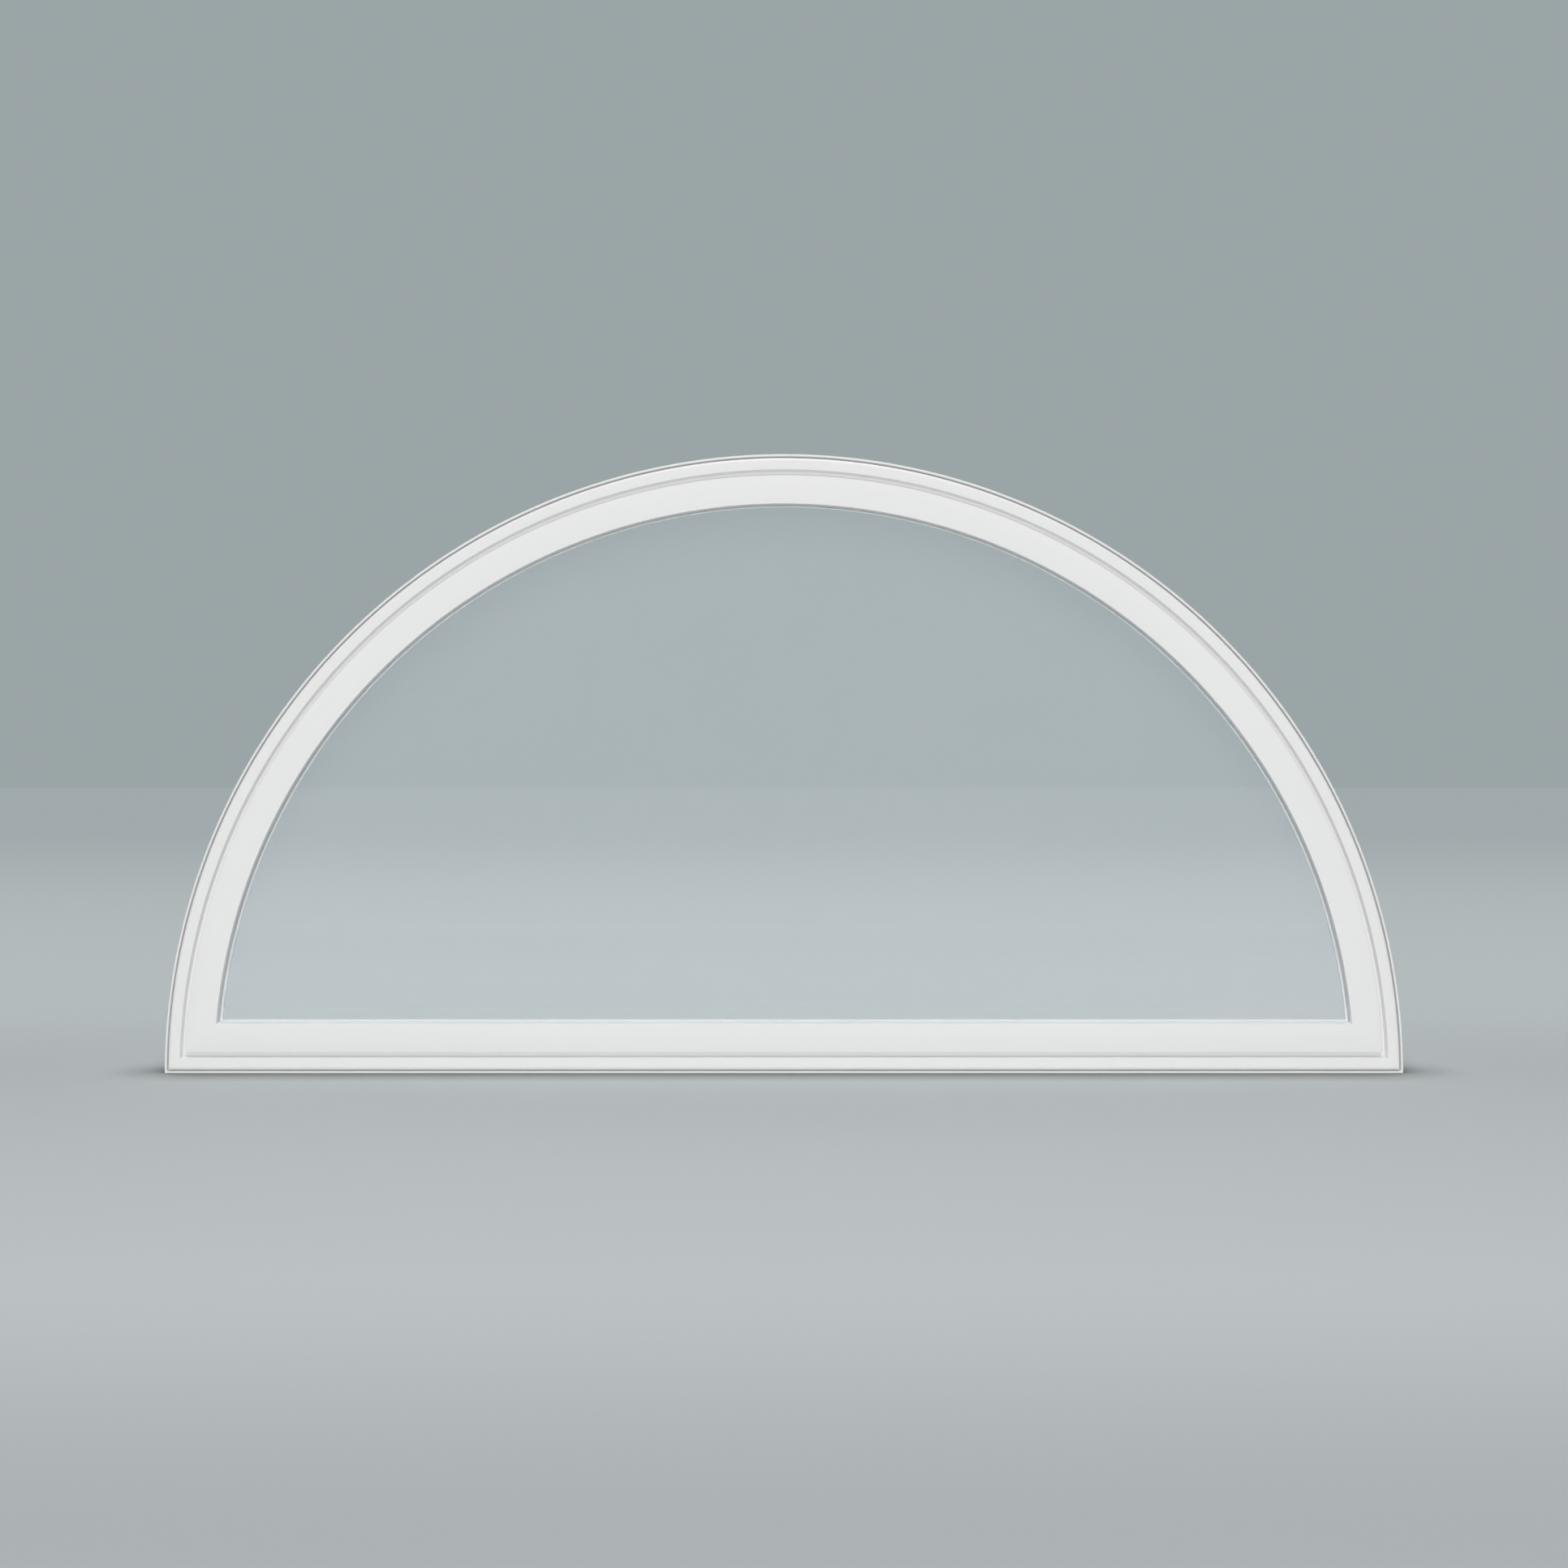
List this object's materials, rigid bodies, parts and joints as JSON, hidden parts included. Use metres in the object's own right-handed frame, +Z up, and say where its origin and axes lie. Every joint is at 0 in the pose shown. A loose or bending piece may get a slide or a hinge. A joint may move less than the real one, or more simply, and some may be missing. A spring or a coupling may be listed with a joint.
{
  "type": "half-round fixed window",
  "caption": "White half-round fixed window: arched frame and sill, arched sash and bottom rail, sealed double glass, inside glazing bead and stop.",
  "frame": {"origin": "middle of the sill's underside, halfway through the frame's depth", "axes": "+X along the sill to the right seen from outside, -Y out of the outside face, +Z up"},
  "size_m": [1.829, 0.0826, 0.9143],
  "materials": {
    "frame_white": "extruded white window plastic, satin, clean, faint draw lines along the profile",
    "sash_white": "extruded white window plastic, satin, clean, faint draw lines along the profile",
    "bead_white": "extruded white window plastic, satin, clean",
    "seal_grey": "pale grey flexible seal, matte",
    "pane_glass": "clear float glass, smooth, very slightly blue-green",
    "spacer_bar": "pale satin spacer bar",
    "sealant_dark": "dark edge sealant, matte",
    "block_plastic": "plain moulded setting block, matte"
  },
  "bodies": {
    "root": {"frame_arch": "frame_white", "frame_sill": "frame_white", "sash_arch": "sash_white", "sash_bottom_rail": "sash_white", "sash_seal_arch": "seal_grey", "sash_seal_sill": "seal_grey", "inside_stop_arch": "bead_white", "inside_stop_sill": "bead_white", "glazing_tape_arch": "seal_grey", "glazing_tape_sill": "seal_grey", "outer_pane": "pane_glass", "inner_pane": "pane_glass", "spacer_arch": "spacer_bar", "spacer_sill": "spacer_bar", "edge_sealant_arch": "sealant_dark", "edge_sealant_sill": "sealant_dark", "bead_gasket_arch": "seal_grey", "bead_gasket_sill": "seal_grey", "glazing_bead_arch": "bead_white", "glazing_bead_sill": "bead_white", "setting_block_left": "block_plastic", "setting_block_right": "block_plastic"}
  },
  "joints": []
}
